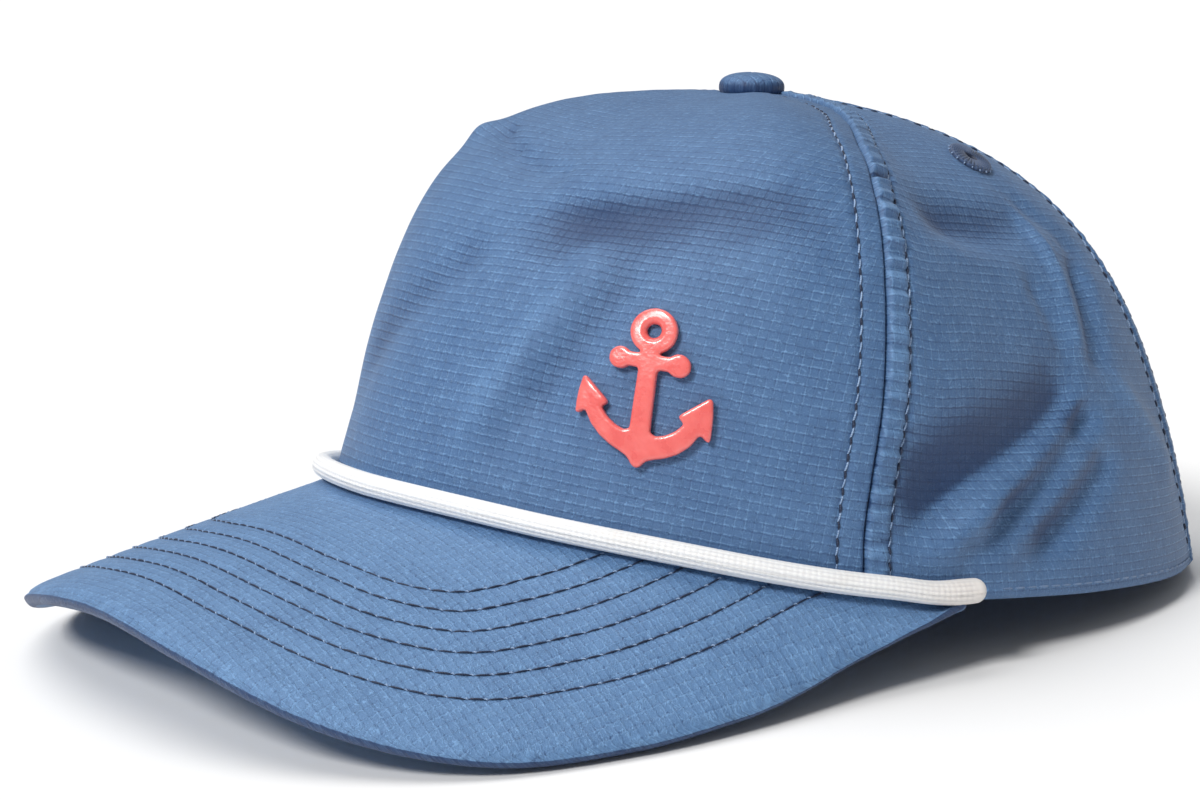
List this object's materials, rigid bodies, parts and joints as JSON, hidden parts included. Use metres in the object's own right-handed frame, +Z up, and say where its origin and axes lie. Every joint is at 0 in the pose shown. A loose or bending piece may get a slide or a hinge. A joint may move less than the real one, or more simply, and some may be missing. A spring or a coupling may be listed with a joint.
{
  "type": "rope hat",
  "caption": "Rope cap with a stiff front panel, a curved stitched peak, a white braided rope along the joint, a raised coral anchor and a plain strap at the back.",
  "frame": {"origin": "middle of the hat's box on the surface it rests on", "axes": "+Z up, the peak points to -Y, +X is the wearer's left"},
  "size_m": [0.1704, 0.2495, 0.1094],
  "materials": {
    "cloth": "light blue ripstop cotton",
    "rope": "white braided cord",
    "thread": "embroidery thread",
    "emblem": "moulded soft plastic, satin gloss"
  },
  "bodies": {
    "root": {"front_panel": "cloth", "side_panel_left": "cloth", "side_panel_right": "cloth", "back_panel_left": "cloth", "back_panel_right": "cloth", "closure_strap": "cloth", "peak": "cloth", "top_button": "cloth", "rope": "rope", "eyelet_left": "thread", "eyelet_right": "thread", "anchor_emblem": "emblem"}
  },
  "joints": []
}
